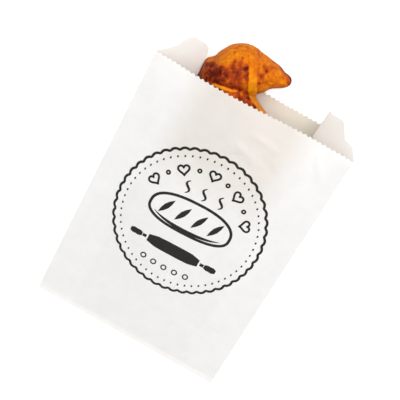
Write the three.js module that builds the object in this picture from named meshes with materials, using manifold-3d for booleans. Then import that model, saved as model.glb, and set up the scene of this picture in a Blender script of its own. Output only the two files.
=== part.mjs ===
// A paper bakery bag lying on its back with its mouth open and a croissant partly out of it.
// Millimetres. Z is up, Y runs from the folded bottom to the mouth, X is to the right seen from above.
// The shapes are worked out with the folded bottom at Y 0, and placed with the origin halfway up.
import * as THREE from "three";
import Module from "manifold-3d";

const wasm = await Module();
wasm.setup();

// Bag, one sheet folded to a tube with side gussets
const bagWidth = 140;
const bagLength = 205;
const gussetHalf = 32;
const paper = 0.3;
const layerGap = 0.3;
const mouthHeight = 30;
const crownRise = 4.5;
const crownCrest = -22;
const crownLeftPower = 2;
const crownRightPower = 5;

// Bottom of the bag, folded over and glued to the back wall
const flapLength = 18;
const flapThickness = 0.6;
const flapRamp = 16;
const sealLength = 4;

// Cut edge at the mouth, pinked on the two walls and raised in an ear on each gusset
const toothCount = 41;
const toothDepth = 1.3;
const earRise = 17;
const cornerDrop = 12.2;

// Croissant
const croissantGap = 0.3;
const doughSink = 0.22;
const doughBelly = 1.15;

// Fineness of the surfaces
const frontColumns = 16;
const gussetColumns = 3;
const rimColumns = 16;
const backColumns = 4;
const plainRows = 17;
const doughRound = 26;

// Worked out from the sizes above
const half = bagWidth / 2;
const stack = 4 * paper + 3 * layerGap;
const wallRise = mouthHeight - stack;
const frontReach = Math.sqrt(bagLength ** 2 - wallRise ** 2);
const lastRow = frontReach - cornerDrop - toothDepth - 4;
const restHeight = paper + croissantGap;

// Stations of the croissant's two rolls of dough, from their ends: x, y, half width, height. The horn's
// rings stand square to its path and the body's lie across the bag.
const horn = [
  [12.8, 219.7, 0.8, 4],
  [12.2, 219.5, 2.2, 7],
  [10.4, 219.1, 3.8, 10],
  [6.4, 218.2, 5.6, 13.5],
  [1, 217.7, 8.5, 18.5],
  [-4, 216.3, 11.6, 22.5],
  [-10, 214.4, 14.7, 27],
  [-16, 212.8, 17.1, 30.5],
  [-21, 210.6, 16.9, 32],
  [-25, 207.7, 14.6, 32],
  [-28, 204.6, 12, 29],
  [-30, 202, 9, 22],
  [-31.5, 200.4, 3, 11],
];
const body = [
  [-24, 220, 3, 16],
  [-25, 215.6, 9.6, 24],
  [-25.4, 210.8, 12.8, 29],
  [-24.8, 207.6, 16.6, 31.5],
  [-22.5, 202.6, 18.9, 32],
  [-19.8, 198.8, 21.4, 32],
  [-15.6, 194.8, 25.2, 31.6],
  [-14, 190, 26.2, 31],
  [-12.6, 180, 26.4, 29.4],
  [-11, 168, 25, 27.6],
  [-7, 152, 21.5, 24],
  [-1, 137, 16, 18.6],
  [6, 123, 10.5, 13],
  [11, 113.5, 6, 8.5],
  [13.2, 109.5, 2.6, 4.4],
  [14, 108, 0.6, 1.2],
];

const paperWhite = new THREE.MeshStandardMaterial({ color: 0xf3f1ec, roughness: 0.75, metalness: 0 });
const crust = new THREE.MeshStandardMaterial({ color: 0xc9731c, roughness: 0.45, metalness: 0 });

function mix(a, b, share) {
  return a + (b - a) * share;
}

function smooth(low, high, value) {
  const share = Math.min(1, Math.max(0, (value - low) / (high - low)));
  return share * share * (3 - 2 * share);
}

// How far the back wall is lifted where it climbs off the glued flap
function liftAt(y) {
  return flapThickness * (1 - smooth(flapLength, flapLength + flapRamp, y));
}

// Height of the side folds over the back wall, opening evenly towards the mouth
function foldAt(y) {
  return stack + (wallRise * y) / frontReach;
}

// Distance of a gusset's middle crease from the bag's centre line
function creaseAt(y) {
  const spread = (foldAt(y) - stack) / 2;
  const inset = Math.sqrt(gussetHalf ** 2 - spread ** 2);
  return half - inset;
}

// Soft crown that the croissant gives the front wall, nothing at the side folds and the bottom
function crownAt(x, y) {
  const left = x < crownCrest;
  const reach = left ? half + crownCrest : half - crownCrest;
  const share = Math.min(1, Math.abs(x - crownCrest) / reach);
  const shape = Math.cos((Math.PI / 2) * share) ** (left ? crownLeftPower : crownRightPower);
  return crownRise * smooth(0.08 * bagLength, 0.6 * bagLength, y) * shape;
}

// Outer height of the front wall
function frontAt(x, y) {
  return liftAt(y) + foldAt(y) + crownAt(x, y);
}

// Corners of the right side of a cross-section, from the front fold round the gusset to the back fold
function sideCorners(y, inner) {
  const lift = liftAt(y);
  const fold = lift + foldAt(y);
  const crease = creaseAt(y);
  const middle = (lift + fold) / 2;
  if (inner) {
    return [
      [half - paper, fold - paper],
      [half - paper, fold - paper - layerGap],
      [crease - paper, middle + layerGap / 2 + paper],
      [crease - paper, middle - layerGap / 2 - paper],
      [half - paper, lift + paper + layerGap],
      [half - paper, lift + paper],
    ];
  }
  return [
    [half, fold],
    [half, fold - 2 * paper - layerGap],
    [crease, middle + layerGap / 2],
    [crease, middle - layerGap / 2],
    [half, lift + 2 * paper + layerGap],
    [half, y <= flapLength ? 0 : lift],
  ];
}

// Point of a cross-section. Turn 0 to 1 is the front wall from left to right, 1 to 6 the right side,
// 6 to 7 the back wall from right to left and 7 to 12 the left side.
function pointAt(turn, y, inner) {
  if (turn > 7) {
    const mirrored = pointAt(13 - turn, y, inner);
    return [-mirrored[0], y, mirrored[2]];
  }
  const side = sideCorners(y, inner);
  const edge = side[0][0];
  if (turn <= 1) {
    const x = mix(-edge, edge, turn);
    return [x, y, frontAt(x, y) - (inner ? paper : 0)];
  }
  if (turn >= 6) {
    return [mix(edge, -edge, turn - 6), y, side[5][1]];
  }
  const from = Math.min(4, Math.floor(turn - 1));
  const share = turn - 1 - from;
  return [mix(side[from][0], side[from + 1][0], share), y, mix(side[from][1], side[from + 1][1], share)];
}

// Cut of each gusset, from the side fold to the crease: share of the way and share of the ear's full rise
const leftEar = [
  [0, 0],
  [0.1, 0.1],
  [0.23, 0.26],
  [0.35, 0.45],
  [0.45, 0.79],
  [0.52, 0.93],
  [0.6, 1],
  [0.75, 0.96],
  [0.9, 0.91],
  [0.97, 0.79],
  [1, 0.59],
];
const rightEar = [
  [0, 0],
  [0.18, 0.37],
  [0.25, 0.41],
  [0.39, 0.43],
  [0.62, 0.96],
  [0.66, 0.98],
  [0.92, 0.92],
  [1, 0.98],
];

// Rise of a gusset's cut edge over the wall's, along straight cuts between the points of its profile
function earAt(share, profile) {
  const next = Math.max(1, profile.findIndex(([place]) => place >= share));
  const [fromShare, fromRise] = profile[next - 1];
  const [toShare, toRise] = profile[next];
  return earRise * mix(fromRise, toRise, (share - fromShare) / (toShare - fromShare));
}

// Length of the pinked cut's bite at a share of the wall's width
function biteAt(share) {
  return toothDepth * Math.abs(2 * ((share * toothCount) % 1) - 1);
}

// Height of the front wall's cut, which its rise over the croissant draws back a little
function frontCutAt(x) {
  return Math.sqrt(bagLength ** 2 - (wallRise + crownAt(x, frontReach)) ** 2);
}

// Height of the cut edge at a turn round the bag. The back wall's corners are cut lower than its middle.
function rimAt(turn) {
  const left = turn > 7;
  const side = left ? 13 - turn : turn;
  const profile = left ? leftEar : rightEar;
  if (side <= 1) {
    return frontCutAt(mix(-half, half, side)) - biteAt(side);
  }
  if (side >= 6) {
    const corner = smooth(0.7, 1, Math.abs(2 * (side - 6) - 1));
    return mix(bagLength, frontReach - cornerDrop, corner) - biteAt(side - 6);
  }
  if (side <= 2) {
    return frontReach - toothDepth * (2 - side);
  }
  if (side <= 3) {
    return frontReach + earAt(side - 2, profile);
  }
  if (side <= 4) {
    return frontReach + earAt(1, profile);
  }
  if (side <= 5) {
    return frontReach + earAt(5 - side, profile) - cornerDrop * (side - 4);
  }
  return frontReach - cornerDrop - toothDepth * (side - 5);
}

// Turns round the bag with a number of steps for the front, each gusset half and the back
function turns(front, gusset, back) {
  const steps = [front, 1, gusset, 1, gusset, 1, back, 1, gusset, 1, gusset, 1];
  return steps.flatMap((count, side) => Array.from({ length: count }, (_, i) => side + i / count));
}

// Heights of the rows, close over the seal and the flap and even above them
function rowHeights() {
  const low = [0, sealLength, flapLength * 0.6, flapLength, flapLength + 0.4];
  const ramp = [0.3, 0.6, 1].map((share) => flapLength + flapRamp * share);
  const start = flapLength + flapRamp;
  const plain = Array.from({ length: plainRows }, (_, i) => mix(start, lastRow, (i + 1) / plainRows));
  return [...low, ...ramp, ...plain];
}

// The bag as one closed body: an outer and an inner skin joined at the cut edge and capped at the bottom
function bagGeometry() {
  const points = [];
  const faces = [];
  const add = (point) => points.push(point) - 1;
  const coarse = turns(frontColumns, gussetColumns, backColumns);
  const fine = turns(2 * toothCount, rimColumns, 2 * toothCount);
  const rims = [];
  for (const inner of [false, true]) {
    const face = (a, b, c) => faces.push(inner ? [a, b, c] : [a, c, b]);
    const heights = rowHeights().filter((y) => !inner || y >= sealLength);
    const rows = heights.map((y) => coarse.map((turn) => add(pointAt(turn, y, inner))));
    for (let row = 1; row < rows.length; row += 1) {
      for (let i = 0; i < coarse.length; i += 1) {
        const next = (i + 1) % coarse.length;
        face(rows[row - 1][i], rows[row][i], rows[row][next]);
        face(rows[row - 1][i], rows[row][next], rows[row - 1][next]);
      }
    }
    const outline = coarse.map((turn) => pointAt(turn, heights[0], inner));
    const flat = outline.map((point) => new THREE.Vector2(point[0], point[2]));
    for (const [a, b, c] of THREE.ShapeUtils.triangulateShape(flat, [])) {
      face(rows[0][a], rows[0][c], rows[0][b]);
    }
    const rim = fine.map((turn) => add(pointAt(turn, rimAt(turn), inner)));
    const last = rows[rows.length - 1];
    let low = 0;
    let high = 0;
    while (low < coarse.length || high < fine.length) {
      const lowNext = low + 1 < coarse.length ? coarse[low + 1] : 12;
      const highNext = high + 1 < fine.length ? fine[high + 1] : 12;
      const a = last[low % coarse.length];
      const b = rim[high % fine.length];
      if (high < fine.length && (low >= coarse.length || highNext <= lowNext)) {
        face(a, b, rim[(high + 1) % fine.length]);
        high += 1;
      } else {
        face(a, b, last[(low + 1) % coarse.length]);
        low += 1;
      }
    }
    rims.push(rim);
  }
  const [outer, inside] = rims;
  for (let i = 0; i < fine.length; i += 1) {
    const next = (i + 1) % fine.length;
    faces.push([outer[i], inside[next], inside[i]]);
    faces.push([outer[i], outer[next], inside[next]]);
  }
  return closedGeometry(points, faces);
}

function closedGeometry(points, faces) {
  const geometry = new THREE.BufferGeometry();
  geometry.setAttribute("position", new THREE.Float32BufferAttribute(points.flat(), 3));
  geometry.setIndex(faces.flat());
  geometry.computeVertexNormals();
  return geometry;
}

// One roll of dough: a ring at each station, square to the path or across the bag, its ends closed. A ring
// is half an oval above its widest line and a shallower half below it.
function rollSolid(stations, square) {
  const placed = [];
  stations.forEach(([x, y, halfWidth, height], i) => {
    const before = stations[Math.max(0, i - 1)];
    const after = stations[Math.min(stations.length - 1, i + 1)];
    const length = Math.hypot(after[0] - before[0], after[1] - before[1]);
    const ux = square ? (after[0] - before[0]) / length : 0;
    const uy = square ? (after[1] - before[1]) / length : -1;
    for (let k = 0; k < doughRound; k += 1) {
      const angle = (2 * Math.PI * (k + 0.5)) / doughRound;
      const across = halfWidth * Math.cos(angle);
      const reach = Math.sin(angle) > 0 ? 1 - doughSink : doughSink * doughBelly;
      const up = restHeight + height * (doughSink + reach * Math.sin(angle));
      placed.push(x - uy * across, y + ux * across, up);
    }
  });
  const faces = [];
  for (let i = 0; i < stations.length - 1; i += 1) {
    for (let k = 0; k < doughRound; k += 1) {
      const a = i * doughRound + k;
      const b = i * doughRound + ((k + 1) % doughRound);
      faces.push([a, b, b + doughRound], [a, b + doughRound, a + doughRound]);
    }
  }
  const last = (stations.length - 1) * doughRound;
  for (let k = 1; k < doughRound - 1; k += 1) {
    faces.push([0, k + 1, k], [last, last + k, last + k + 1]);
  }
  return new wasm.Manifold(
    new wasm.Mesh({
      numProp: 3,
      vertProperties: new Float32Array(placed),
      triVerts: new Uint32Array(faces.flat()),
    })
  );
}

// The croissant as one body, flat where it lies on the back wall
function croissantGeometry() {
  const joined = rollSolid(horn, true).add(rollSolid(body, false));
  const mesh = joined.trimByPlane([0, 0, 1], restHeight).getMesh();
  const geometry = new THREE.BufferGeometry();
  geometry.setAttribute("position", new THREE.BufferAttribute(new Float32Array(mesh.vertProperties), 3));
  geometry.setIndex(Array.from(mesh.triVerts));
  geometry.computeVertexNormals();
  return geometry;
}

// A mesh placed so that the origin is the point of the back wall halfway up the bag
function named(name, geometry, material) {
  const mesh = new THREE.Mesh(geometry, material);
  mesh.name = name;
  mesh.position.y = -bagLength / 2;
  return mesh;
}

const group = new THREE.Group();
group.name = "croissant_bag";
group.add(
  named("bag", bagGeometry(), paperWhite),
  named("croissant", croissantGeometry(), crust)
);

export default group;
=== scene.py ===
"""A white paper bakery bag lying on its back with a croissant partly out of its mouth."""
import math

import bpy
import numpy as np
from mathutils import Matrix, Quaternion, Vector


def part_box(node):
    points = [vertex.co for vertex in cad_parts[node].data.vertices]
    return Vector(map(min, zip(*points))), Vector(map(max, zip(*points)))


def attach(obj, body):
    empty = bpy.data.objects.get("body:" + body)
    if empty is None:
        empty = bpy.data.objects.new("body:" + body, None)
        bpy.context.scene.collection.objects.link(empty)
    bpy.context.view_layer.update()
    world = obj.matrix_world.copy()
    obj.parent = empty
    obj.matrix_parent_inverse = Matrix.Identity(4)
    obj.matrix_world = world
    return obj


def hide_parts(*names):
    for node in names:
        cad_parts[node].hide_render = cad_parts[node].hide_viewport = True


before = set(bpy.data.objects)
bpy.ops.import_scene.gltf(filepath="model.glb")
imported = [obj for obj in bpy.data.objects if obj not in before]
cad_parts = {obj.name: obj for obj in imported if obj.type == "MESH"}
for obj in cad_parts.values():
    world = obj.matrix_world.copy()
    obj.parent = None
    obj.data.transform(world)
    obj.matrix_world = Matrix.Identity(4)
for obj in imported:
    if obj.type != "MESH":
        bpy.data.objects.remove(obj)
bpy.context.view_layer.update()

bl_info = {
    "name": "Croissant Bag",
    "version": (1, 0, 0),
    "blender": (4, 5, 0),
    "location": "View3D > Sidebar > Bakery",
    "description": "Builds a gusseted paper bakery bag, its print and the croissant in it",
    "category": "Add Mesh",
}

BAG_LOW, BAG_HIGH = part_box("bag")
MM = 0.001
# The shapes are worked out with the folded bottom at Y 0, and the frame's origin lies this far up, in mm
ORIGIN_UP = -BAG_LOW.y / MM
# Corners of the lattice of random values that noise is blended from, along each axis
LATTICE = 32


def linear(hex_colour):
    """Turns an sRGB hex colour into linear red, green, blue and alpha."""
    values = [int(hex_colour[i : i + 2], 16) / 255 for i in (1, 3, 5)]
    return tuple([v / 12.92 if v <= 0.04045 else ((v + 0.055) / 1.055) ** 2.4 for v in values] + [1.0])


class BagSettings(bpy.types.PropertyGroup):
    """Sizes and colours of the paper bag, in millimetres where a name says so."""

    width: bpy.props.FloatProperty(
        name="Width", description="Across the front wall, mm", default=(BAG_HIGH.x - BAG_LOW.x) / MM
    )
    length: bpy.props.FloatProperty(
        name="Length", description="From the folded bottom to the cut, mm", default=205
    )
    gusset: bpy.props.FloatProperty(
        name="Half gusset", description="Fold to crease, mm", default=32
    )
    mouth: bpy.props.FloatProperty(
        name="Mouth height", description="Side fold over the table, mm", default=30
    )
    crown: bpy.props.FloatProperty(
        name="Crown", description="Rise of the front over the croissant, mm", default=4.5
    )
    crest: bpy.props.FloatProperty(
        name="Crest", description="Where the front is highest, mm", default=-22
    )
    paper: bpy.props.FloatProperty(
        name="Paper", description="Thickness of one sheet as drawn, mm", default=0.14
    )
    gap: bpy.props.FloatProperty(
        name="Layer gap", description="Air between folded layers, mm", default=0.08
    )
    flap: bpy.props.FloatProperty(
        name="Bottom flap", description="Length glued to the back, mm", default=18
    )
    teeth: bpy.props.IntProperty(name="Teeth", description="Pinked teeth across a wall", default=41)
    tooth: bpy.props.FloatProperty(
        name="Tooth depth", description="Depth of the pinked cut, mm", default=1.3
    )
    ear: bpy.props.FloatProperty(
        name="Ear", description="Rise of a gusset's cut over the wall's, mm", default=17
    )
    corner: bpy.props.FloatProperty(
        name="Corner drop", description="Back corners under the front's cut, mm", default=12.2
    )
    layered: bpy.props.StringProperty(
        name="Layered paper", description="Over the gussets", default="#F5F3F0"
    )
    # The tone of one sheet over the croissant is darker: painted shade of the croissant and the bag's
    # hollow seen through the paper
    single: bpy.props.StringProperty(
        name="Single paper", description="Over the croissant", default="#E5DED6"
    )
    # The inner side's tone is painted brighter and warmer, as light coming through the paper into the bag
    inside: bpy.props.StringProperty(
        name="Inner side", description="Rough side of the paper", default="#F8F1E0"
    )


class CroissantSettings(bpy.types.PropertyGroup):
    """Baking colours of the croissant."""

    pale: bpy.props.StringProperty(
        name="Layer edge", description="Palest dough at the edges", default="#E48F10"
    )
    gold: bpy.props.StringProperty(name="Gold", description="Well baked dough", default="#D06B0C")
    brown: bpy.props.StringProperty(
        name="Brown", description="Caramelised dough", default="#9F3C12"
    )
    dark: bpy.props.StringProperty(name="Dark", description="Darkest caramel", default="#56150B")


class PrintSettings(bpy.types.PropertyGroup):
    """Place, size and ink of the print on the front wall."""

    up: bpy.props.FloatProperty(
        name="Height", description="Centre over the bottom edge, mm", default=107
    )
    radius: bpy.props.FloatProperty(
        name="Radius", description="Outer ring across the bag, mm", default=51.3
    )
    stretch: bpy.props.FloatProperty(
        name="Stretch", description="Length over width of the print", default=1.085
    )
    line: bpy.props.FloatProperty(
        name="Line", description="Width of the ring's line, mm", default=1.7
    )
    ink: bpy.props.StringProperty(name="Ink", description="Printed colour", default="#191817")


class StageSettings(bpy.types.PropertyGroup):
    """Floor, lamps and camera."""

    floor: bpy.props.StringProperty(
        name="Floor", description="Colour of the floor", default="#D2D2D2"
    )
    world: bpy.props.FloatProperty(
        name="World", description="Strength of the even light", default=0.72
    )
    lamp: bpy.props.FloatProperty(
        name="Lamp", description="Strength of the soft lamp, W", default=18.5
    )
    lens: bpy.props.FloatProperty(
        name="Lens", description="Focal length on a 36 mm sensor, mm", default=100
    )


def mix(a, b, share):
    """The value that lies a share of the way from a to b."""
    return a + (b - a) * share


def smooth(low, high, value):
    """Smooth step: 3s^2 - 2s^3 of the clamped share s of the way from low to high."""
    share = np.clip((value - low) / (high - low), 0, 1)
    return share * share * (3 - 2 * share)


def lattice_noise(points, cell, seed):
    """Value noise from -1 to 1: random values on a lattice of the cell's size, blended smoothly between
    the eight corners round each point."""
    random = np.random.default_rng(seed)
    values = random.uniform(-1, 1, (LATTICE, LATTICE, LATTICE))
    scaled = points / cell
    base = np.floor(scaled).astype(int)
    share = scaled - base
    share = share * share * (3 - 2 * share)
    total = np.zeros(len(points))
    for dx in (0, 1):
        for dy in (0, 1):
            for dz in (0, 1):
                weight = np.ones(len(points))
                for axis, step in enumerate((dx, dy, dz)):
                    weight *= share[:, axis] if step else 1 - share[:, axis]
                corner = (base + (dx, dy, dz)) % LATTICE
                total += weight * values[corner[:, 0], corner[:, 1], corner[:, 2]]
    return total


def make_object(name, points, face_sets, material, sharp=None):
    """Puts points in millimetres and arrays of faces with equal counts of corners into a new object."""
    mesh = bpy.data.meshes.new(name)
    sizes = np.concatenate([np.full(len(faces), faces.shape[1]) for faces in face_sets])
    corners = np.concatenate([faces.ravel() for faces in face_sets])
    mesh.vertices.add(len(points))
    mesh.vertices.foreach_set("co", ((np.asarray(points) - (0, ORIGIN_UP, 0)) * MM).ravel())
    mesh.loops.add(len(corners))
    mesh.loops.foreach_set("vertex_index", corners.astype(np.int32))
    mesh.polygons.add(len(sizes))
    mesh.polygons.foreach_set("loop_start", (np.cumsum(sizes) - sizes).astype(np.int32))
    mesh.polygons.foreach_set("use_smooth", np.ones(len(sizes), dtype=bool))
    mesh.update(calc_edges=True)
    mesh.validate()
    if sharp:
        mesh.set_sharp_from_angle(angle=math.radians(sharp))
    mesh.materials.append(material)
    piece = bpy.data.objects.new(name, mesh)
    bpy.context.scene.collection.objects.link(piece)
    return piece


def set_attribute(piece, name, values):
    """Stores one number for each point of a piece."""
    attribute = piece.data.attributes.new(name, "FLOAT", "POINT")
    attribute.data.foreach_set("value", np.asarray(values, dtype=np.float32))


def grid_quads(rows, columns, closed):
    """Quads of a grid of points stored row by row, its last column joined to its first where closed."""
    row = np.arange(rows - 1)[:, None]
    column = np.arange(columns if closed else columns - 1)[None, :]
    after = (column + 1) % columns
    near, far = row * columns, (row + 1) * columns
    corners = np.broadcast_arrays(near + column, near + after, far + after, far + column)
    return np.stack(corners, -1).reshape(-1, 4)


def add_node(tree, kind, settings=None, links=None):
    """Adds a node, sets its properties and inputs, and links inputs to given outputs."""
    node = tree.nodes.new(kind)
    for key, value in (settings or {}).items():
        if isinstance(key, str) and hasattr(node, key):
            setattr(node, key, value)
        else:
            node.inputs[key].default_value = value
    for key, output in (links or {}).items():
        tree.links.new(output, node.inputs[key])
    return node


def new_material(name):
    """An empty node material with its Principled shader linked to the output."""
    material = bpy.data.materials.new(name)
    material.use_nodes = True
    tree = material.node_tree
    tree.nodes.clear()
    shader = tree.nodes.new("ShaderNodeBsdfPrincipled")
    output = tree.nodes.new("ShaderNodeOutputMaterial")
    tree.links.new(shader.outputs["BSDF"], output.inputs["Surface"])
    return material, tree, shader


# Real sizes of the finishes' patterns, in millimetres. The fibres are drawn coarser than real ones of
# 0.03 mm, because those are too fine to show
PAPER_CLOUD = 11
PAPER_FIBRE = 0.9
CRUST_SPECKLE = 3.2
CRUST_BLISTER = 2.6
CRUST_FLAKE = 1.2
INK_PATCH = 2


def bleached_kraft(bag):
    """Bleached machine-glazed kraft: fibres laid in water leave a faint cloudiness and a fine tooth. The
    inner, rough side is painted warmer and brighter as light coming through the walls into the bag, and
    where one sheet lies over the croissant its tone is painted darker as shade seen through the paper."""
    material, tree, shader = new_material("bleached_kraft_paper")
    place = add_node(tree, "ShaderNodeTexCoord").outputs["Object"]
    cloud = add_node(
        tree,
        "ShaderNodeTexNoise",
        {"Scale": 1 / (PAPER_CLOUD * MM), "Detail": 5.0, "Roughness": 0.6},
        {"Vector": place},
    )
    # Share of the layered tone; where it falls, over the croissant, the darker tone is painted shade seen
    # through the paper
    backing_and_shade = add_node(tree, "ShaderNodeAttribute", {"attribute_name": "backing_and_shade"})
    outer = add_node(
        tree,
        "ShaderNodeMix",
        {"data_type": "RGBA", "A": linear(bag.single), "B": linear(bag.layered)},
        {"Factor": backing_and_shade.outputs["Fac"]},
    )
    # Inner faces take the tone painted brighter as light coming through the paper
    inner = add_node(tree, "ShaderNodeAttribute", {"attribute_name": "inner"})
    tone = add_node(
        tree,
        "ShaderNodeMix",
        {"data_type": "RGBA", "B": linear(bag.inside)},
        {"Factor": inner.outputs["Fac"], "A": outer.outputs["Result"]},
    )
    clouded = add_node(
        tree,
        "ShaderNodeMapRange",
        {"From Min": 0.3, "From Max": 0.7, "To Min": 0.965, "To Max": 1.01},
        {"Value": cloud.outputs["Fac"]},
    )
    shaded = add_node(
        tree,
        "ShaderNodeVectorMath",
        {"operation": "SCALE"},
        {0: tone.outputs["Result"], "Scale": clouded.outputs["Result"]},
    )
    fibre = add_node(
        tree, "ShaderNodeTexNoise", {"Scale": 1 / (PAPER_FIBRE * MM), "Detail": 3.0}, {"Vector": place}
    )
    bump = add_node(
        tree, "ShaderNodeBump", {"Strength": 0.35, "Distance": 0.06 * MM}, {"Height": fibre.outputs["Fac"]}
    )
    tree.links.new(shaded.outputs["Vector"], shader.inputs["Base Color"])
    tree.links.new(bump.outputs["Normal"], shader.inputs["Normal"])
    shader.inputs["Roughness"].default_value = 0.62
    shader.inputs["Specular IOR Level"].default_value = 0.3
    shader.inputs["Subsurface Weight"].default_value = 0.35
    shader.inputs["Subsurface Radius"].default_value = (1.0, 0.95, 0.85)
    shader.inputs["Subsurface Scale"].default_value = 0.6 * MM
    return material


def egg_washed_crust(croissant):
    """Egg-washed laminated dough, baked: satin caramel on the lobes, paler where a layer's edge opens, with
    small blisters and flakes."""
    material, tree, shader = new_material("egg_washed_crust")
    place = add_node(tree, "ShaderNodeTexCoord").outputs["Object"]
    # The attribute read here holds the baking colour together with painted shade and painted highlights
    bake_and_painted_light = add_node(tree, "ShaderNodeAttribute", {"attribute_name": "bake_and_painted_light"})
    speckle = add_node(
        tree,
        "ShaderNodeTexNoise",
        {"Scale": 1 / (CRUST_SPECKLE * MM), "Detail": 5.0, "Roughness": 0.65},
        {"Vector": place},
    )
    spread = add_node(
        tree,
        "ShaderNodeMapRange",
        {"From Min": 0.3, "From Max": 0.7, "To Min": -0.16, "To Max": 0.16},
        {"Value": speckle.outputs["Fac"]},
    )
    level = add_node(
        tree,
        "ShaderNodeMath",
        {"operation": "ADD", "use_clamp": True},
        {0: bake_and_painted_light.outputs["Fac"], 1: spread.outputs["Result"]},
    )
    ramp = add_node(tree, "ShaderNodeValToRGB", {}, {"Fac": level.outputs["Value"]})
    stops = ramp.color_ramp.elements
    stops[0].position, stops[0].color = 0.0, linear(croissant.pale)
    stops[1].position, stops[1].color = 1.0, linear(croissant.dark)
    for position, colour in ((0.3, croissant.gold), (0.66, croissant.brown)):
        stop = stops.new(position)
        stop.color = linear(colour)
    blister = add_node(tree, "ShaderNodeTexVoronoi", {"Scale": 1 / (CRUST_BLISTER * MM)}, {"Vector": place})
    flake = add_node(
        tree, "ShaderNodeTexNoise", {"Scale": 1 / (CRUST_FLAKE * MM), "Detail": 6.0}, {"Vector": place}
    )
    relief = add_node(
        tree,
        "ShaderNodeMath",
        {"operation": "ADD"},
        {0: blister.outputs["Distance"], 1: flake.outputs["Fac"]},
    )
    bump = add_node(
        tree, "ShaderNodeBump", {"Strength": 0.6, "Distance": 0.6 * MM}, {"Height": relief.outputs["Value"]}
    )
    tree.links.new(ramp.outputs["Color"], shader.inputs["Base Color"])
    tree.links.new(bump.outputs["Normal"], shader.inputs["Normal"])
    shader.inputs["Roughness"].default_value = 0.45
    shader.inputs["IOR"].default_value = 1.25
    shader.inputs["Specular IOR Level"].default_value = 0.15
    return material


def flexo_ink(ink):
    """Black flexographic ink on paper: matt, a little uneven where the plate pressed less."""
    material, tree, shader = new_material("flexo_black_ink")
    place = add_node(tree, "ShaderNodeTexCoord").outputs["Object"]
    uneven = add_node(
        tree, "ShaderNodeTexNoise", {"Scale": 1 / (INK_PATCH * MM), "Detail": 4.0}, {"Vector": place}
    )
    ramp = add_node(tree, "ShaderNodeValToRGB", {}, {"Fac": uneven.outputs["Fac"]})
    ramp.color_ramp.elements[0].color = linear(ink.ink)
    ramp.color_ramp.elements[1].color = linear("#2A2927")
    tree.links.new(ramp.outputs["Color"], shader.inputs["Base Color"])
    shader.inputs["Roughness"].default_value = 0.6
    shader.inputs["Specular IOR Level"].default_value = 0.25
    return material


# Length over which the back wall settles past the glued flap, in millimetres
FLAP_EASE = 14
# Shares of the bag's length where the crown over the croissant starts and where it is full
CROWN_START = 0.08
CROWN_FULL = 0.6
# Slow waves of the front wall, in millimetres: a ripple across the bag, bent along it, and a slanted swell.
# They grow between two heights and die out near the side folds
RIPPLE_HEIGHT = 0.21
RIPPLE_LENGTH = 9
RIPPLE_BEND = 1.3
BEND_LENGTH = 23
SWELL_HEIGHT = 0.18
SWELL_LENGTH = 12
SWELL_SLANT = 0.4
WAVES_START = 10
WAVES_FULL = 120
CALM_EDGE = 0.8


def fold_height(y, bag):
    """Height of the side folds: the flat stack at the bottom, rising evenly to the mouth's height."""
    stack = 4 * bag.paper + 3 * bag.gap
    reach = math.sqrt(bag.length**2 - (bag.mouth - stack) ** 2)
    return stack + (bag.mouth - stack) * y / reach


def flap_lift(y, bag):
    """Lift of the back wall over the glued flap: two sheets thick, easing to nothing past its end."""
    return 2 * bag.paper * (1 - smooth(bag.flap, bag.flap + FLAP_EASE, y))


def crown_height(x, y, bag):
    """Crown of the front wall over the croissant: a cosine squared on its left and to the fifth power on
    its right, rising from the bottom."""
    reach = np.where(x < bag.crest, bag.width / 2 + bag.crest, bag.width / 2 - bag.crest)
    share = np.clip(np.abs(x - bag.crest) / reach, 0, 1)
    shape = np.cos(math.pi / 2 * share) ** np.where(x < bag.crest, 2, 5)
    return bag.crown * smooth(CROWN_START * bag.length, CROWN_FULL * bag.length, y) * shape


# Creases pressed into the front wall: from x, y to x, y, width and height, all in millimetres
FRONT_CREASES = (
    (-6, 178, 22, 166, 2.0, 0.8),
    (4, 186, 30, 182, 1.8, 0.7),
    (16, 176, 34, 166, 2.4, -0.5),
    (-4, 168, 10, 175, 1.6, 0.6),
    (-30, 170, -20, 140, 3.0, 0.3),
    (-55, 20, -20, 34, 3.5, 0.3),
    (-40, 60, -62, 48, 3.0, -0.25),
    (46, 196, 62, 176, 2.2, 0.3),
)


def crease_relief(x, y):
    """Creases: ridges of a bell section round each line, fading out at its two ends."""
    total = np.zeros_like(x)
    for x0, y0, x1, y1, width, height in FRONT_CREASES:
        length = math.hypot(x1 - x0, y1 - y0)
        ux, uy = (x1 - x0) / length, (y1 - y0) / length
        along = (x - x0) * ux + (y - y0) * uy
        across = (x - x0) * uy - (y - y0) * ux
        fade = smooth(0, 0.3, along / length) * (1 - smooth(0.7, 1, along / length))
        total += height * fade * np.exp(-((across / width) ** 2))
    return total


def front_height(x, y, bag):
    """Outer height of the front wall: fold height, crown, slow waves and creases, calm at its sides."""
    calm = 1 - smooth(CALM_EDGE, 1, np.abs(x) / (bag.width / 2))
    ripple = RIPPLE_HEIGHT * np.sin(x / RIPPLE_LENGTH + RIPPLE_BEND * np.sin(y / BEND_LENGTH))
    swell = SWELL_HEIGHT * np.sin((x * SWELL_SLANT + y) / SWELL_LENGTH)
    waves = (ripple + swell) * smooth(WAVES_START, WAVES_FULL, y)
    soft = calm * (waves + crease_relief(x, y))
    return flap_lift(y, bag) + fold_height(y, bag) + crown_height(x, y, bag) + soft


def crease_place(y, bag):
    """Distance of a gusset's crease from the centre line, from the half gusset and the opening."""
    stack = 4 * bag.paper + 3 * bag.gap
    spread = (fold_height(y, bag) - stack) / 2
    inset = np.sqrt(bag.gusset**2 - spread**2)
    return bag.width / 2 - inset


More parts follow.
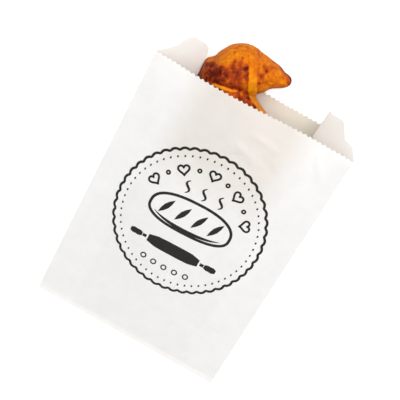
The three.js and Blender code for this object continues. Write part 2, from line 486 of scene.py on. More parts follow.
def skin_points(turn, y, inner, bag):
    """Points of the outer or inner skin on a grid of rows by turns round the bag.

    Turn 0 to 1 is the front wall from left to right, 1 to 6 the right side from fold to fold round the
    gusset, 6 to 7 the back wall from right to left, and 7 to 12 the left side, the right side mirrored."""
    mirrored = turn > 7
    side_turn = np.where(mirrored, 13 - turn, turn)
    half = bag.width / 2
    lift = flap_lift(y, bag)
    fold = lift + fold_height(y, bag)
    crease = crease_place(y, bag)
    middle = (lift + fold) / 2
    sheet, gap = bag.paper, bag.gap
    if inner:
        xs = [half - sheet, half - sheet, crease - sheet, crease - sheet, half - sheet, half - sheet]
        opening = gap / 2 + sheet
        top = fold - sheet
        base = lift + sheet
        zs = [top, top - gap, middle + opening, middle - opening, base + gap, base]
    else:
        xs = [half, half, crease, crease, half, half]
        under = np.where(y <= bag.flap, 0, lift)
        layers = 2 * sheet + gap
        zs = [fold, fold - layers, middle + gap / 2, middle - gap / 2, lift + layers, under]
    xs = np.stack([np.broadcast_to(x, y.shape) for x in xs])
    zs = np.stack([np.broadcast_to(z, y.shape) for z in zs])
    start = np.clip(np.floor(side_turn - 1), 0, 4).astype(int)
    share = np.clip(side_turn - 1 - start, 0, 1)
    column = np.arange(len(turn))
    x = mix(xs[start, :, column].T, xs[start + 1, :, column].T, share)
    z = mix(zs[start, :, column].T, zs[start + 1, :, column].T, share)
    edge = half - (sheet if inner else 0)
    front = side_turn <= 1
    back = side_turn >= 6
    x = np.where(front, mix(-edge, edge, side_turn), x)
    x = np.where(back, mix(edge, -edge, side_turn - 6), x)
    z = np.where(front, front_height(x, y, bag) - (sheet if inner else 0), z)
    x = np.where(mirrored, -x, x)
    return np.stack([x, y, z], -1)


# Cut of each gusset, from the side fold to the crease: share of the way and share of the ear's full rise
LEFT_EAR = (
    (0, 0),
    (0.1, 0.1),
    (0.23, 0.26),
    (0.35, 0.45),
    (0.45, 0.79),
    (0.52, 0.93),
    (0.6, 1),
    (0.75, 0.96),
    (0.9, 0.91),
    (0.97, 0.79),
    (1, 0.59),
)
RIGHT_EAR = (
    (0, 0),
    (0.18, 0.37),
    (0.25, 0.41),
    (0.39, 0.43),
    (0.62, 0.96),
    (0.66, 0.98),
    (0.92, 0.92),
    (1, 0.98),
)
# Roundness of a pinked tooth, and the share of the back wall's half width where its corner starts to drop
TOOTH_POWER = 0.8
CORNER_START = 0.7
# Height where the bag's rows start to follow the cut, in millimetres, and the counts of rows and steps
RIM_START = 182
PLAIN_ROWS = 66
RIM_ROWS = 11
GUSSET_STEPS = 28
STEPS_PER_TOOTH = 4


def rim_height(turn, bag):
    """Height of the cut edge round the bag: pinked on the walls, raised in an ear on each gusset, and
    cut lower at the back wall's corners. The front wall's rise over the croissant draws its cut back."""
    stack = 4 * bag.paper + 3 * bag.gap
    reach = math.sqrt(bag.length**2 - (bag.mouth - stack) ** 2)
    side = np.where(turn > 7, 13 - turn, turn)
    crown = crown_height(mix(-bag.width / 2, bag.width / 2, side), reach, bag)
    front_cut = np.sqrt(bag.length**2 - (bag.mouth - stack + crown) ** 2)
    phase = np.where(side <= 1, side, side - 6) * bag.teeth
    bite = bag.tooth * (0.5 - 0.5 * np.cos(2 * math.pi * phase)) ** TOOTH_POWER
    share = np.where(side <= 3, side - 2, 5 - side)
    left, right = (np.interp(share, *zip(*profile)) for profile in (LEFT_EAR, RIGHT_EAR))
    ear = bag.ear * np.where(turn > 7, left, right)
    on_gusset = (side >= 2) & (side <= 5)
    low = reach - bag.corner
    corner = smooth(CORNER_START, 1, np.abs(2 * (side - 6) - 1))
    rim = np.where(side <= 1, front_cut - bite, reach)
    rim = np.where(on_gusset, reach + ear - bag.corner * np.clip(side - 4, 0, 1), rim)
    rim = np.where((side > 5) & (side < 6), low, rim)
    return np.where((side >= 6) & (side <= 7), mix(bag.length, low, corner) - bite, rim)


def bag_turns(front, gusset, back):
    """Turns round the bag, with counts of steps for the front, each half gusset and the back."""
    steps = (front, 1, gusset, 1, gusset, 1, back, 1, gusset, 1, gusset, 1)
    return np.concatenate([side + np.arange(count) / count for side, count in enumerate(steps)])


def paper_rows(turn, bag):
    """Heights of the bag's rows of points: level ones up to RIM_START, then even shares of the way from
    there to the cut."""
    low = np.array([0, 4, bag.flap * 0.5, bag.flap, bag.flap + 0.4])
    plain = np.linspace(bag.flap + 2.5, RIM_START, PLAIN_ROWS)
    straight = np.repeat(np.concatenate([low, plain])[:, None], len(turn), 1)
    share = np.linspace(1 / RIM_ROWS, 1, RIM_ROWS)[:, None]
    return np.concatenate([straight, mix(RIM_START, rim_height(turn, bag)[None, :], share)])


def paper_tones(points, turn, outer_count, bag):
    """Tone attributes of the paper. The first is one over the gussets' layers and fades over the croissant,
    where the darker tone it leaves is painted shade seen through the paper; it is halved on the gussets'
    inner faces. The second, inner, is one on the rough inner side of the walls, whose tone is painted
    brighter as light coming through the paper, and fades on the gussets."""
    columns = len(turn)
    inner_rows = (len(points) - outer_count) // columns
    side = np.where(turn > 7, 13 - turn, turn)
    on_gusset = np.append(np.zeros(outer_count), np.tile((side > 1) & (side < 6), inner_rows))
    # Low in the bag, with no croissant behind the sheet, the painted shade fades out
    hollow = 0.85 * (1 - smooth(115, 160, points[:, 1]))
    past_crease = smooth(-16, 10, np.abs(points[:, 0]) - crease_place(points[:, 1], bag))
    backing_and_shade = np.maximum(past_crease, hollow) * (1 - 0.5 * on_gusset)
    # Inner faces of the walls get the tone painted as light through the paper, fading on the gussets
    rough_side_lit = np.where(side <= 1, 1, smooth(5, 6, side))
    return backing_and_shade, np.append(np.zeros(outer_count), np.tile(rough_side_lit, inner_rows))


def build_bag(bag):
    """The bag: outer and inner skins on grids of turns and rows, joined at the cut edge, capped below."""
    wall_steps = STEPS_PER_TOOTH * bag.teeth
    turn = bag_turns(wall_steps, GUSSET_STEPS, wall_steps)
    y = paper_rows(turn, bag)
    outer = skin_points(turn, y, False, bag)
    inner = skin_points(turn, y[1:], True, bag)
    columns = len(turn)
    outer_count = outer.shape[0] * columns
    inner_quads = grid_quads(inner.shape[0], columns, True) + outer_count
    column = np.arange(columns)
    after = (column + 1) % columns
    outer_rim = (outer.shape[0] - 1) * columns
    inner_rim = outer_count + (inner.shape[0] - 1) * columns
    rim_corners = (outer_rim + column, outer_rim + after, inner_rim + after, inner_rim + column)
    rim_quads = np.stack(rim_corners, -1)
    points = np.concatenate([outer.reshape(-1, 3), inner.reshape(-1, 3)])
    quads = np.concatenate([grid_quads(outer.shape[0], columns, True), inner_quads[:, ::-1], rim_quads])
    caps = np.stack([column[::-1], outer_count + column])
    piece = make_object("paper_bag", points, [quads, caps], bleached_kraft(bag), sharp=35)
    backing_and_shade, rough_side_lit = paper_tones(points, turn, outer_count, bag)
    set_attribute(piece, "backing_and_shade", backing_and_shade)
    set_attribute(piece, "inner", rough_side_lit)
    return piece


# Stations of the croissant's two rolls of dough, from their ends: x, y, half width, height. The horn's
# rings stand square to its path and the body's lie across the bag
HORN = (
    (12.8, 219.7, 0.8, 4),
    (12.2, 219.5, 2.2, 7),
    (10.4, 219.1, 3.8, 10),
    (6.4, 218.2, 5.6, 13.5),
    (1, 217.7, 8.5, 18.5),
    (-4, 216.3, 11.6, 22.5),
    (-10, 214.4, 14.7, 27),
    (-16, 212.8, 17.1, 30.5),
    (-21, 210.6, 16.9, 32),
    (-25, 207.7, 14.6, 32),
    (-28, 204.6, 12, 29),
    (-30, 202, 9, 22),
    (-31.5, 200.4, 3, 11),
)
BODY = (
    (-24, 220, 3, 16),
    (-25, 215.6, 9.6, 24),
    (-25.4, 210.8, 12.8, 29),
    (-24.8, 207.6, 16.6, 31.5),
    (-22.5, 202.6, 18.9, 32),
    (-19.8, 198.8, 21.4, 32),
    (-15.6, 194.8, 25.2, 31.6),
    (-14, 190, 26.2, 31),
    (-12.6, 180, 26.4, 29.4),
    (-11, 168, 25, 27.6),
    (-7, 152, 21.5, 24),
    (-1, 137, 16, 18.6),
    (6, 123, 10.5, 13),
    (11, 113.5, 6, 8.5),
    (13.2, 109.5, 2.6, 4.4),
    (14, 108, 0.6, 1.2),
)
# Lines on the croissant as seen from above, as x, y where the slanted sight line SIGHT meets the height
# LEVEL: the pale layer that crosses it, the sliver of layer under the dark lobe and the lobe's upper edge
BAND_LINE = (
    (-20.4, 235),
    (-18.7, 231.8),
    (-16, 226.8),
    (-12.6, 221.1),
    (-10, 215),
    (-7, 209),
    (-4.8, 205.3),
    (-0.4, 202.2),
    (4.4, 200),
    (9, 197.6),
)
SLIVER_LINE = ((-30, 198.6), (-28.3, 199), (-24, 199.5), (-20.7, 200.2), (-17.2, 201), (-14, 202.4))
LOBE_LINE = (
    (-44, 205),
    (-39.4, 208.4),
    (-36, 211),
    (-32.7, 211.4),
    (-29.4, 212.8),
    (-25.3, 216),
    (-20, 219.2),
    (-12, 221),
)
# Spots baked darker or, below zero, left paler: x, y, half width, half length and amount
BAKED_SPOTS = (
    (-33.4, 205.4, 4.6, 3.4, 0.5),
    (-38.8, 204.6, 1.7, 3.0, -0.16),
    (-29.0, 208.5, 3.0, 2.4, 0.2),
    (-16.7, 212.4, 1.7, 1.8, 0.22),
    (-15.6, 217.4, 1.6, 2.4, 0.2),
    (-21.2, 221.6, 1.0, 2.6, 0.3),
    (-24.0, 218.8, 1.4, 1.4, 0.2),
    (-22.5, 213.5, 2.4, 1.6, 0.14),
    (-12.0, 208.5, 2.2, 2.4, -0.22),
    (-19.5, 208.0, 2.0, 1.2, -0.12),
    (-29.0, 204.0, 1.6, 1.2, -0.14),
    (-6.8, 224.2, 1.1, 1.4, 0.3),
    (-4.2, 222.2, 1.3, 2.2, 0.4),
    (-5.4, 217.9, 2.2, 1.8, 0.34),
    (-1.8, 216.4, 1.6, 1.4, 0.3),
    (-4.6, 213.6, 1.5, 1.2, 0.32),
    (11.6, 223.4, 2.6, 2.4, 0.32),
    (-6.2, 202.6, 1.4, 1.5, 0.4),
    (-12.0, 200.2, 4.0, 1.4, 0.12),
)
LEVEL = 20
SIGHT = 0.27
# Height of the croissant's underside in the bag, in millimetres, the share of a roll's height under its
# widest line, and how much of that share its lower half reaches down before it is flattened
REST = 0.4
SINK = 0.22
BELLY = 1.15
# Steps along and round a roll of dough, and the voxels that fuse the rolls, in millimetres
ROLL_STEPS = 90
ROUND_STEPS = 64
VOXEL = 0.5
# Half widths of the band at its top and low end, of the sliver and of their soft edges, in millimetres
BAND_WIDE = 2.75
BAND_NARROW = 2.05
SLIVER_WIDTH = 1.0
MARK_EDGE = 0.45
# How dark the dough is, from 0 to 1: baked all over, more on the dark lobe, at the band's two ends and the
# sliver, and painted shade near the tray, under the croissant and under the horn's tip
GOLD_BAKE = 0.27
LOBE_BAKE = 0.38
BAND_BAKE_TOP = 0.22
BAND_BAKE_LOW = 0.04
SLIVER_BAKE = 0.02
FOOT_SHADE = 0.5
TIP_FOOT_SHADE = 0.4


def through(stations, steps):
    """A smooth path through stations: Catmull-Rom cubics over every row's own values."""
    rows = np.asarray(stations, dtype=float)
    padded = np.concatenate([2 * rows[:1] - rows[1:2], rows, 2 * rows[-1:] - rows[-2:-1]])
    share = np.linspace(0, len(rows) - 1, steps)
    index = np.minimum(share.astype(int), len(rows) - 2)
    t = (share - index)[:, None]
    a, b, c, d = (padded[index + k] for k in range(4))
    square = 2 * a - 5 * b + 4 * c - d
    cube = 3 * b - a - 3 * c + d
    return 0.5 * (2 * b + (c - a) * t + square * t**2 + cube * t**3)


def roll_points(stations, steps, round_steps, square):
    """One roll of dough: a ring at each step of a smooth path, square to it or across the bag. A ring is
    half an oval above its widest line and a shallower half below it."""
    path = through(stations, steps)
    direction = np.gradient(path[:, :2], axis=0) if square else np.full((steps, 2), (0.0, -1.0))
    direction /= np.linalg.norm(direction, axis=1)[:, None]
    angle = (np.arange(round_steps) + 0.5)[None, :] * 2 * math.pi / round_steps
    half_width = np.maximum(path[:, 2:3], 0.3)
    across = half_width * np.cos(angle)
    x = path[:, 0:1] - direction[:, 1:2] * across
    y = path[:, 1:2] + direction[:, 0:1] * across
    reach = np.where(np.sin(angle) > 0, 1 - SINK, SINK * BELLY)
    z = REST + path[:, 3:4] * (SINK + reach * np.sin(angle))
    return np.stack([x, y, z], -1).reshape(-1, 3)


def roll_faces(steps, round_steps):
    """Quads between a roll's rings and one face over each end."""
    ring = np.arange(round_steps)
    ends = np.stack([ring[::-1], (steps - 1) * round_steps + ring])
    return grid_quads(steps, round_steps, True), ends


def fused(piece, voxel):
    """Runs a voxel remesh over a piece and returns its new points and faces, in millimetres."""
    remesh = piece.modifiers.new("fuse", "REMESH")
    remesh.mode = "VOXEL"
    remesh.voxel_size = voxel * MM
    depsgraph = bpy.context.evaluated_depsgraph_get()
    result = bpy.data.meshes.new_from_object(piece.evaluated_get(depsgraph))
    points = np.empty(len(result.vertices) * 3)
    result.vertices.foreach_get("co", points)
    corners = np.empty(len(result.loops), dtype=int)
    result.loops.foreach_get("vertex_index", corners)
    old = piece.data
    bpy.data.objects.remove(piece)
    bpy.data.meshes.remove(old)
    faces = corners.reshape(-1, 4)
    bpy.data.meshes.remove(result)
    return points.reshape(-1, 3) / MM + (0, ORIGIN_UP, 0), faces


def line_distance(flat, line):
    """Signed distance of points from a line through corners, positive on its right, and the share of the
    way along it of the nearest point."""
    corners = np.asarray(line, dtype=float)
    best = np.full(len(flat), 1e9)
    along = np.zeros(len(flat))
    count = len(corners) - 1
    for i in range(count):
        step = corners[i + 1] - corners[i]
        share = np.clip(((flat - corners[i]) @ step) / (step @ step), 0, 1)
        off = flat - corners[i] - share[:, None] * step
        side = np.sign(step[1] * off[:, 0] - step[0] * off[:, 1])
        distance = side * np.hypot(off[:, 0], off[:, 1])
        nearer = np.abs(distance) < np.abs(best)
        best = np.where(nearer, distance, best)
        along = np.where(nearer, (i + share) / count, along)
    return best, along


def bell(value, middle, width):
    """A bell curve: one at its middle, falling by the square of the distance in widths."""
    return np.exp(-(((value - middle) / width) ** 2))


def crust_marks(points):
    """Where each point lies among the dough's layers, as named arrays: shares from 0 to 1 of the band, its
    edges' groove, the sliver, the hollow over it, the side left of the band and the dark lobe, the
    distances from the band and along it, and the noise that makes the marks uneven."""
    flat = np.stack([points[:, 0], points[:, 1] + (LEVEL - points[:, 2]) * SIGHT], -1)
    wobble = 0.7 * lattice_noise(points, 3.1, 21) + 0.3 * lattice_noise(points, 1.3, 22)
    fine = lattice_noise(points, 1.1, 10)
    band, along = line_distance(flat, BAND_LINE)
    half = mix(BAND_WIDE, BAND_NARROW, smooth(0.6, 0.8, along))
    sliver, sliver_along = line_distance(flat, SLIVER_LINE)
    thin = SLIVER_WIDTH * np.sin(math.pi * np.clip(sliver_along, 0.02, 0.98)) ** 0.5
    lobe = line_distance(flat, LOBE_LINE)[0]
    left = smooth(-1, 1, band)
    return {
        "flat": flat,
        "fine": fine,
        "mottle": 0.9 * lattice_noise(points * (1, 0.7, 1), 2.7, 9) + 0.4 * fine,
        "flake": lattice_noise(points * (1, 0.75, 1), 3.6, 31) + 0.25 * lattice_noise(points, 1.4, 32),
        "from_edge": band + half,
        "along": along,
        "in_band": smooth(half + MARK_EDGE, half - MARK_EDGE, np.abs(band + wobble * 0.35)),
        "groove": bell(np.abs(band) - half, 0.3, 0.6),
        "in_sliver": smooth(thin + 0.35, thin - 0.35, np.abs(sliver + wobble * 0.25)),
        "over_sliver": bell(sliver, -1.7, 0.7) * smooth(0, 0.15, sliver_along),
        "left": left,
        "dark_lobe": left * smooth(-1.6, 1.6, lobe + 1.6 * wobble),
    }


def crust_relief(points, marks):
    """Height in millimetres that each point is lifted: noise of three sizes, a step at each flake, the
    band and the sliver raised, and grooves beside them."""
    relief = 0.45 * lattice_noise(points, 7.0, 3) + 0.25 * lattice_noise(points, 2.6, 4)
    relief += 0.1 * lattice_noise(points, 1.1, 5) + 0.22 * smooth(-0.06, 0.06, marks["flake"])
    relief += 0.5 * marks["in_band"] - 0.35 * marks["groove"]
    return relief + 0.35 * marks["in_sliver"] - 0.3 * marks["over_sliver"]


def crust_bake_and_painted_light(points, marks):
    """How dark each point is, from 0 to 1: baked gold with mottles, darker on the left lobe and in the
    baked spots, paler at flakes' edges and where a layer opens, with pale specks painted as highlights,
    painted shade in the grooves beside the band and in the hollow over the sliver, and painted shade near
    the tray."""
    fine, mottle, left, dark_lobe = (marks[name] for name in ("fine", "mottle", "left", "dark_lobe"))
    bake_and_painted_light = GOLD_BAKE + 0.15 * mottle + dark_lobe * (LOBE_BAKE + 0.16 * mottle) + 0.05 * (1 - left)
    # Pale specks on the gold, away from the dark lobe, are painted highlights; the flakes' edges are paler
    # dough
    bake_and_painted_light -= 0.2 * smooth(0.2, 0.6, fine) * left * (1 - dark_lobe) + 0.15 * bell(marks["flake"], 0, 0.07)
    bake_and_painted_light += 0.1 * smooth(0.06, 0.3, marks["flake"]) * (1 - smooth(0.3, 0.7, marks["flake"]))
    for x, y, wide, tall, amount in BAKED_SPOTS:
        shape = bell(marks["flat"][:, 0], x, wide) * bell(marks["flat"][:, 1], y, tall)
        bake_and_painted_light += amount * shape * (1 + 0.5 * fine)
    # Painted shade in the hollow over the sliver
    bake_and_painted_light += 0.2 * left * marks["over_sliver"]
    streak = bell(marks["from_edge"], 0.6, 0.35) + bell(marks["from_edge"], 2.0, 0.3)
    pale = mix(BAND_BAKE_TOP, BAND_BAKE_LOW, smooth(0.35, 0.55, marks["along"])) + 0.09 * mottle
    pale += 0.14 * streak * (1 - smooth(0.3, 0.6, marks["along"]))
    bake_and_painted_light = mix(bake_and_painted_light, pale, marks["in_band"])
    bake_and_painted_light = mix(bake_and_painted_light, SLIVER_BAKE, marks["in_sliver"])
    # Painted shade in the grooves beside the band
    bake_and_painted_light += 0.12 * marks["groove"] * (1 - marks["in_band"])
    # Painted shade on the underside near the tray, deeper under the horn's tip
    bake_and_painted_light += FOOT_SHADE * smooth(5.5, 1.5, points[:, 2])
    bake_and_painted_light += TIP_FOOT_SHADE * smooth(9, 3, points[:, 2]) * smooth(-8, 0, points[:, 0])
    return np.clip(bake_and_painted_light, 0, 1)


def build_croissant(croissant):
    """The croissant: two rolls of dough fused to one skin, lifted by its relief and flat where it lies."""
    quads, ends = roll_faces(ROLL_STEPS, ROUND_STEPS)
    horn = roll_points(HORN, ROLL_STEPS, ROUND_STEPS, True)
    body = roll_points(BODY, ROLL_STEPS, ROUND_STEPS, False)
    material = egg_washed_crust(croissant)
    start = len(horn)
    rough = make_object(
        "croissant_rough",
        np.concatenate([horn, body]),
        [np.concatenate([quads, quads + start]), np.concatenate([ends, ends + start])],
        material,
    )
    points, faces = fused(rough, VOXEL)
    marks = crust_marks(points)
    bake_and_painted_light = crust_bake_and_painted_light(points, marks)
    points[:, 2] = np.maximum(points[:, 2] + crust_relief(points, marks), REST)
    piece = make_object("baked_croissant", points, [faces], material)
    set_attribute(piece, "bake_and_painted_light", bake_and_painted_light)
    return piece


# Lift of the ink's underside over the paper, and its thickness as drawn, in millimetres
INK_LIFT = 0.03
INK_THICKNESS = 0.05
# Points across a stroke of ink, as shares of its half width
STROKE_ACROSS = (1.0, 0.33, -0.33, -1.0)


def stroke(path, closed, printed):
    """A line of ink: two edges offset from the path by its half width, as a band with a top and sides
    that follows the front wall. Path rows are x, y and half width from the print's centre."""
    path = np.asarray(path, dtype=float)
    before = np.roll(path, 1, 0)
    after = np.roll(path, -1, 0)
    if not closed:
        before[0], after[-1] = path[0], path[-1]
    direction = after[:, :2] - before[:, :2]
    direction /= np.linalg.norm(direction, axis=1)[:, None]
    normal = np.stack([-direction[:, 1], direction[:, 0]], -1)
    across = np.array(STROKE_ACROSS)[None, :, None] * normal[:, None, :] * path[:, None, 2:3]
    flat = path[:, None, :2] + across
    x, y = flat[..., 0], flat[..., 1] * printed["stretch"] + printed["up"]
    low = printed["height"](x, y) + INK_LIFT
    top = np.stack([x, y, low + INK_THICKNESS], -1)
    under = np.stack([x, y, low], -1)[:, ::-1]
    ring = np.concatenate([top, under], 1)
    corners = ring.shape[1]
    last = (len(path) - 1) * corners
    quads = grid_quads(len(path), corners, True)
    if closed:
        column = np.arange(corners)
        after = (column + 1) % corners
        quads = np.concatenate([quads, np.stack([last + column, last + after, after, column], -1)])
    else:
        end = np.array([[0, 1, 6, 7], [1, 2, 5, 6], [2, 3, 4, 5]])
        quads = np.concatenate([quads, end[:, ::-1], end + last])
    return ring.reshape(-1, 3), quads


def circle(radius, count, half_width, wave=0.0, lobes=0):
    """A circle's path, its radius waved by a rectified cosine for scallops."""
    angle = np.arange(count) * 2 * math.pi / count
    r = radius - wave * (1 - np.abs(np.cos(angle * lobes / 2)))
    return np.stack([r * np.cos(angle), r * np.sin(angle), np.full(count, half_width)], -1)


def line(start, end, count, widths):
    """A straight path whose half width follows the given list along it."""
    share = np.linspace(0, 1, count)
    width = np.interp(share, np.linspace(0, 1, len(widths)), widths)
    return np.stack([mix(start[0], end[0], share), mix(start[1], end[1], share), width], -1)


def oval(cx, cy, width, height, half_width, power=0.8, low=1.0, count=72):
    """A superellipse's path, its lower half flatter where low is under one."""
    angle = np.arange(count) * 2 * math.pi / count
    c, s = np.cos(angle), np.sin(angle)
    x = np.sign(c) * np.abs(c) ** power * width / 2
    y = np.sign(s) * np.abs(s) ** power * height / 2
    return np.stack([cx + x, cy + np.where(y < 0, y * low, y), np.full(count, half_width)], -1)


def heart(radius, angle, width, half_width):
    """A heart's path, its top outward at an angle round the print's centre. Its width follows the cube of
    a sine, and its height a sum of four cosines."""
    t = np.arange(64) * 2 * math.pi / 64
    across = width / 2 * np.sin(t) ** 3
    up = width / 32 * (13 * np.cos(t) - 5 * np.cos(2 * t) - 2 * np.cos(3 * t) - np.cos(4 * t))
    c, s = math.cos(angle), math.sin(angle)
    x = (radius + up) * c + across * s
    y = (radius + up) * s - across * c
    return np.stack([x, y, np.full(64, half_width)], -1)


# Parts of the print's drawing: counts, angles in degrees, and sizes and places from its centre in mm
SCALLOPS = 48
SCALLOP_DEPTH = 1.3
BEADS = 60
BEAD_INSET = 5.4
ARC_COUNT = 9
ARC_START = 26
ARC_STEP = 16
HEART_RADIUS = 37
HEART_WIDTH = 7.4
PIN_HEIGHT = -22.5
ROW_HEIGHT = -36


def loaf_strokes():
    """The loaf: a flattened oval with slanted slashes, a shade under it and curls of steam over it."""
    closed = [oval(0, 2, 58, 26, 0.95, low=0.78)]
    slashes = [line((x - 3.4, -2), (x + 3.4, 10), 15, (0.1, 1.4, 1.9, 1.4, 0.1)) for x in (-18, -6, 6, 18)]
    angle = np.radians(np.linspace(205, 335, 50))
    width = 1.1 * np.sin(np.linspace(0, math.pi, 50)) + 0.1
    shade = np.stack([26.5 * np.cos(angle), 1 + 7.2 * np.sin(angle), width], -1)
    share = np.linspace(0, 1, 30)
    width = 0.25 + 0.6 * np.sin(math.pi * share)
    sway = 1.8 * np.sin(2 * math.pi * share)
    steam = [np.stack([x + sway, 18 + 9 * share, width], -1) for x in (-12, 0, 12)]
    return closed, [*slashes, shade, *steam]


def pin_strokes():
    """The rolling pin: a thick roller, and on each side a short neck and a turned handle."""
    strokes = [line((-19, PIN_HEIGHT), (19, PIN_HEIGHT), 41, (2.6, 4.1, 4.3, 4.3, 4.3, 4.1, 2.6))]
    handle = (1.3, 2.1, 2.0, 2.2, 1.2)
    for side in (-1, 1):
        strokes.append(line((side * 20.2, PIN_HEIGHT), (side * 23, PIN_HEIGHT), 5, (1.1, 1.1)))
        strokes.append(line((side * 23.4, PIN_HEIGHT), (side * 32, PIN_HEIGHT), 13, handle))
    return strokes


def print_strokes(radius, line_width):
    """All strokes of the print: scalloped ring, beads, an arc of hearts and small rings, the loaf, the
    rolling pin and a curved row of small rings."""
    closed = [circle(radius, 9 * SCALLOPS, line_width / 2, SCALLOP_DEPTH, SCALLOPS)]
    open_strokes = []
    for i in range(BEADS):
        angle = 2 * math.pi * i / BEADS
        x = (radius - BEAD_INSET) * math.cos(angle)
        y = (radius - BEAD_INSET) * math.sin(angle)
        open_strokes.append(line((x - 0.55, y), (x + 0.55, y), 5, (0.3, 0.75, 0.8, 0.75, 0.3)))
    for i in range(ARC_COUNT):
        angle = math.radians(ARC_START + ARC_STEP * i)
        if i % 2:
            x, y = HEART_RADIUS * math.cos(angle), HEART_RADIUS * math.sin(angle)
            closed.append(oval(x, y, 2.2, 2.2, 0.6, power=1.0, count=24))
        else:
            closed.append(heart(HEART_RADIUS, angle, HEART_WIDTH, 0.7))
    loaf_closed, loaf_open = loaf_strokes()
    closed += loaf_closed
    open_strokes += loaf_open + pin_strokes()
    for i in range(5):
        x = -16 + 8 * i
        y = ROW_HEIGHT - 1.2 * (1 - (x / 16) ** 2)
        closed.append(oval(x, y, 3.4, 3.4, 0.45, power=1.0, count=24))
    return closed, open_strokes


def build_print(settings, bag):
    """The print: every stroke as a thin band of ink that follows the front wall."""
    printed = {
        "up": settings.up,
        "stretch": settings.stretch,
        "height": lambda x, y: front_height(x, y, bag),
    }
    closed, open_strokes = print_strokes(settings.radius, settings.line)
    bands = [stroke(path, True, printed) for path in closed]
    bands += [stroke(path, False, printed) for path in open_strokes]
    points, quads, start = [], [], 0
    for band_points, band_quads in bands:
        points.append(band_points)
        quads.append(band_quads + start)
        start += len(band_points)
    ink = flexo_ink(settings)
    return make_object("front_print", np.concatenate(points), [np.concatenate(quads)], ink, sharp=40)


# Half the floor's side, the lamp's diameter and its place over the frame's origin, in metres
FLOOR_REACH = 6.0
LAMP_SIZE = 1.8
LAMP_PLACE = (0.25, 0.9, 1.2)
# Glow of the floor for the camera alone, which turns its shadowless parts white
FLOOR_GLOW = 0.6
# The camera's place over the bag's folded bottom, in millimetres, and its turn as an axis times an angle
CAMERA_PLACE = (-8.2903, 397.5506, 689.7017)
CAMERA_TURN = (0.3794, -0.0887, -0.5069)


def build_stage(stage):
    """Floor, even white world, one large soft lamp and the camera at the photograph's place."""
    scene = bpy.context.scene
    mesh = bpy.data.meshes.new("floor")
    corners = [(x * FLOOR_REACH, y * FLOOR_REACH, 0) for x, y in ((-1, -1), (1, -1), (1, 1), (-1, 1))]
    mesh.from_pydata(corners, [], [(0, 1, 2, 3)])
    material, tree, shader = new_material("white_sweep")
    shader.inputs["Base Color"].default_value = linear(stage.floor)
    shader.inputs["Roughness"].default_value = 0.9
    shader.inputs["Specular IOR Level"].default_value = 0.0
    shader.inputs["Emission Color"].default_value = (1, 1, 1, 1)
    path = add_node(tree, "ShaderNodeLightPath")
    seen = add_node(
        tree,
        "ShaderNodeMath",
        {"operation": "MULTIPLY", 1: FLOOR_GLOW},
        {0: path.outputs["Is Camera Ray"]},
    )
    tree.links.new(seen.outputs["Value"], shader.inputs["Emission Strength"])
    mesh.materials.append(material)
    floor = bpy.data.objects.new("floor", mesh)
    scene.collection.objects.link(floor)
    world = bpy.data.worlds.new("soft_white")
    scene.world = world
    world.use_nodes = True
    background = world.node_tree.nodes["Background"]
    background.inputs["Color"].default_value = (1, 1, 1, 1)
    background.inputs["Strength"].default_value = stage.world
    lamp = bpy.data.lights.new("softbox", "AREA")
    lamp.shape = "DISK"
    lamp.size = LAMP_SIZE
    lamp.energy = stage.lamp
    light = bpy.data.objects.new("softbox", lamp)
    light.location = LAMP_PLACE
    light.rotation_mode = "QUATERNION"
    light.rotation_quaternion = (-Vector(LAMP_PLACE)).to_track_quat("-Z", "Y")
    scene.collection.objects.link(light)
    camera = bpy.data.cameras.new("camera")
    camera.sensor_width = 36
    camera.lens = stage.lens
    camera.clip_start = 0.01
    viewer = bpy.data.objects.new("camera", camera)
    viewer.location = (Vector(CAMERA_PLACE) - Vector((0, ORIGIN_UP, 0))) * MM
    turn = Vector(CAMERA_TURN)
    viewer.rotation_mode = "QUATERNION"
    viewer.rotation_quaternion = Quaternion(-turn.normalized(), turn.length)
    scene.collection.objects.link(viewer)
    scene.camera = viewer
    scene.view_settings.view_transform = "Standard"


class BAKERY_OT_bag(bpy.types.Operator):
    """Build the paper bag"""

    bl_idname = "bakery.bag"
    bl_label = "Paper Bag"

    def execute(self, context):
        scene = context.scene
        piece = build_bag(scene.bakery_bag)
        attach(piece, "root")
        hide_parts("bag")
        return {"FINISHED"}


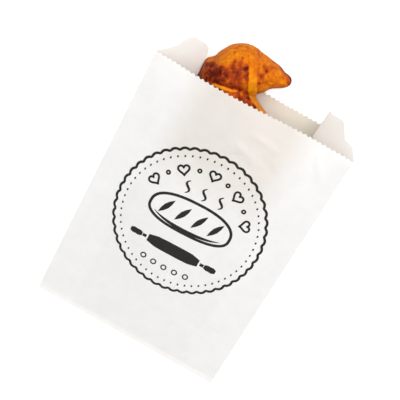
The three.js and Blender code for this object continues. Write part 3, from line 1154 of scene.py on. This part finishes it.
class BAKERY_OT_croissant(bpy.types.Operator):
    """Build the croissant"""

    bl_idname = "bakery.croissant"
    bl_label = "Croissant"

    def execute(self, context):
        piece = build_croissant(context.scene.bakery_croissant)
        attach(piece, "root")
        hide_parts("croissant")
        return {"FINISHED"}


class BAKERY_OT_print(bpy.types.Operator):
    """Build the print on the front wall"""

    bl_idname = "bakery.print"
    bl_label = "Print"

    def execute(self, context):
        scene = context.scene
        piece = build_print(scene.bakery_print, scene.bakery_bag)
        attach(piece, "root")
        return {"FINISHED"}


class BAKERY_OT_stage(bpy.types.Operator):
    """Build the floor, lamps and camera"""

    bl_idname = "bakery.stage"
    bl_label = "Stage"

    def execute(self, context):
        build_stage(context.scene.bakery_stage)
        return {"FINISHED"}


class BAKERY_PT_panel(bpy.types.Panel):
    """Lists the pieces and their settings"""

    bl_idname = "BAKERY_PT_panel"
    bl_label = "Croissant Bag"
    bl_space_type = "VIEW_3D"
    bl_region_type = "UI"
    bl_category = "Bakery"

    def draw(self, context):
        for name in SETTINGS:
            box = self.layout.box()
            box.operator("bakery." + name)
            settings = getattr(context.scene, "bakery_" + name)
            for key in settings.__annotations__:
                box.prop(settings, key)


SETTINGS = {
    "bag": BagSettings,
    "croissant": CroissantSettings,
    "print": PrintSettings,
    "stage": StageSettings,
}
CLASSES = (
    *SETTINGS.values(),
    BAKERY_OT_bag,
    BAKERY_OT_croissant,
    BAKERY_OT_print,
    BAKERY_OT_stage,
    BAKERY_PT_panel,
)


def register():
    """Registers the classes and gives the scene a settings group for each operator."""
    for item in CLASSES:
        bpy.utils.register_class(item)
    for name, settings in SETTINGS.items():
        setattr(bpy.types.Scene, "bakery_" + name, bpy.props.PointerProperty(type=settings))


def unregister():
    """Removes the settings and the classes, the last one first."""
    for name in SETTINGS:
        delattr(bpy.types.Scene, "bakery_" + name)
    for item in reversed(CLASSES):
        bpy.utils.unregister_class(item)


def main():
    """Builds the stage and every piece in order."""
    register()
    bpy.ops.bakery.stage()
    bpy.ops.bakery.bag()
    bpy.ops.bakery.print()
    bpy.ops.bakery.croissant()


if __name__ == "__main__":
    main()
